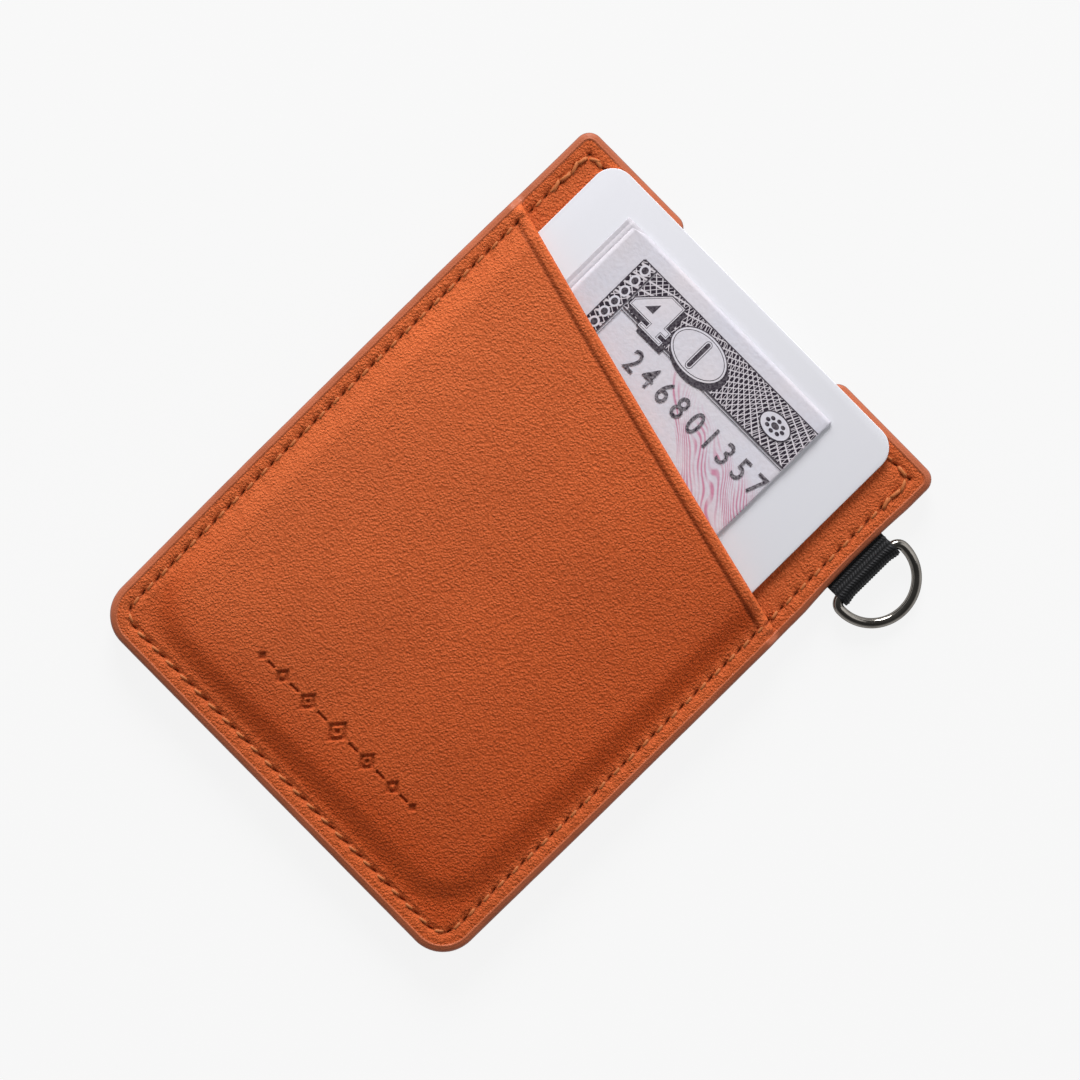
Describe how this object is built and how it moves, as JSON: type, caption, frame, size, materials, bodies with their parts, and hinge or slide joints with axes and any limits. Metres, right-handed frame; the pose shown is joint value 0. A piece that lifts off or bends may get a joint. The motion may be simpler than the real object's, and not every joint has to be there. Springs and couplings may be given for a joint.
{
  "type": "minimalist card wallet",
  "caption": "Slim leather card wallet with a slanted front pocket, thumb notch, rear pocket, woven side tab and D ring, shown holding a card and a folded banknote.",
  "frame": {"origin": "on the back face, midway between the sides and midway between the bottom seam and the tops of the horns", "axes": "+Y towards the mouth and the horns, +X towards the side with the tab and ring, +Z out of the front pocket; the wallet lies on its back on z = 0"},
  "size_m": [0.0761, 0.0924, 0.0068],
  "materials": {
    "leather": "satin, fine grain",
    "edge_paint": "smooth satin edge paint",
    "thread": "waxed polyester thread",
    "lining": "thin woven lining",
    "board": "plain",
    "webbing": "ribbed woven tape",
    "ring_metal": "polished black nickel",
    "card_plastic": "smooth satin",
    "banknote_paper": "soft cotton paper"
  },
  "bodies": {
    "wallet": {"rear_pocket": "leather", "rear_pocket_lining": "lining", "rear_mouth_tape": "webbing", "back_panel": "leather", "core_board": "board", "centre_panel": "leather", "front_pocket_lining": "lining", "front_mouth_tape": "webbing", "front_pocket": "leather", "edge_paint": "edge_paint", "side_seam_needle_thread": "thread", "side_seam_bobbin_thread": "thread", "top_seam_needle_thread": "thread", "top_seam_bobbin_thread": "thread", "tab_tail": "webbing"},
    "tab": {"tab_loop": "webbing"},
    "ring": {"d_ring": "ring_metal"},
    "card": {"card": "card_plastic"},
    "note": {"banknote": "banknote_paper"}
  },
  "joints": [
    {"name": "tab_flex", "type": "hinge", "parent": "wallet", "child": "tab", "pos_m": [0.03335, 0.0308, 0.0023], "axis": [0, -1, 0], "range_deg": [-45, 45], "stiffness_Nm_per_rad": 0.0005},
    {"name": "ring_swing", "type": "hinge", "parent": "tab", "child": "ring", "pos_m": [0.03505, 0.0308, 0.0023], "axis": [0, -1, 0], "range_deg": [-87, 112]},
    {"name": "card_slide", "type": "slide", "parent": "wallet", "child": "card", "axis": [0, 1, 0], "range_m": [0, 0.075]},
    {"name": "note_slide", "type": "slide", "parent": "wallet", "child": "note", "axis": [0, 1, 0], "range_m": [0, 0.056]}
  ]
}
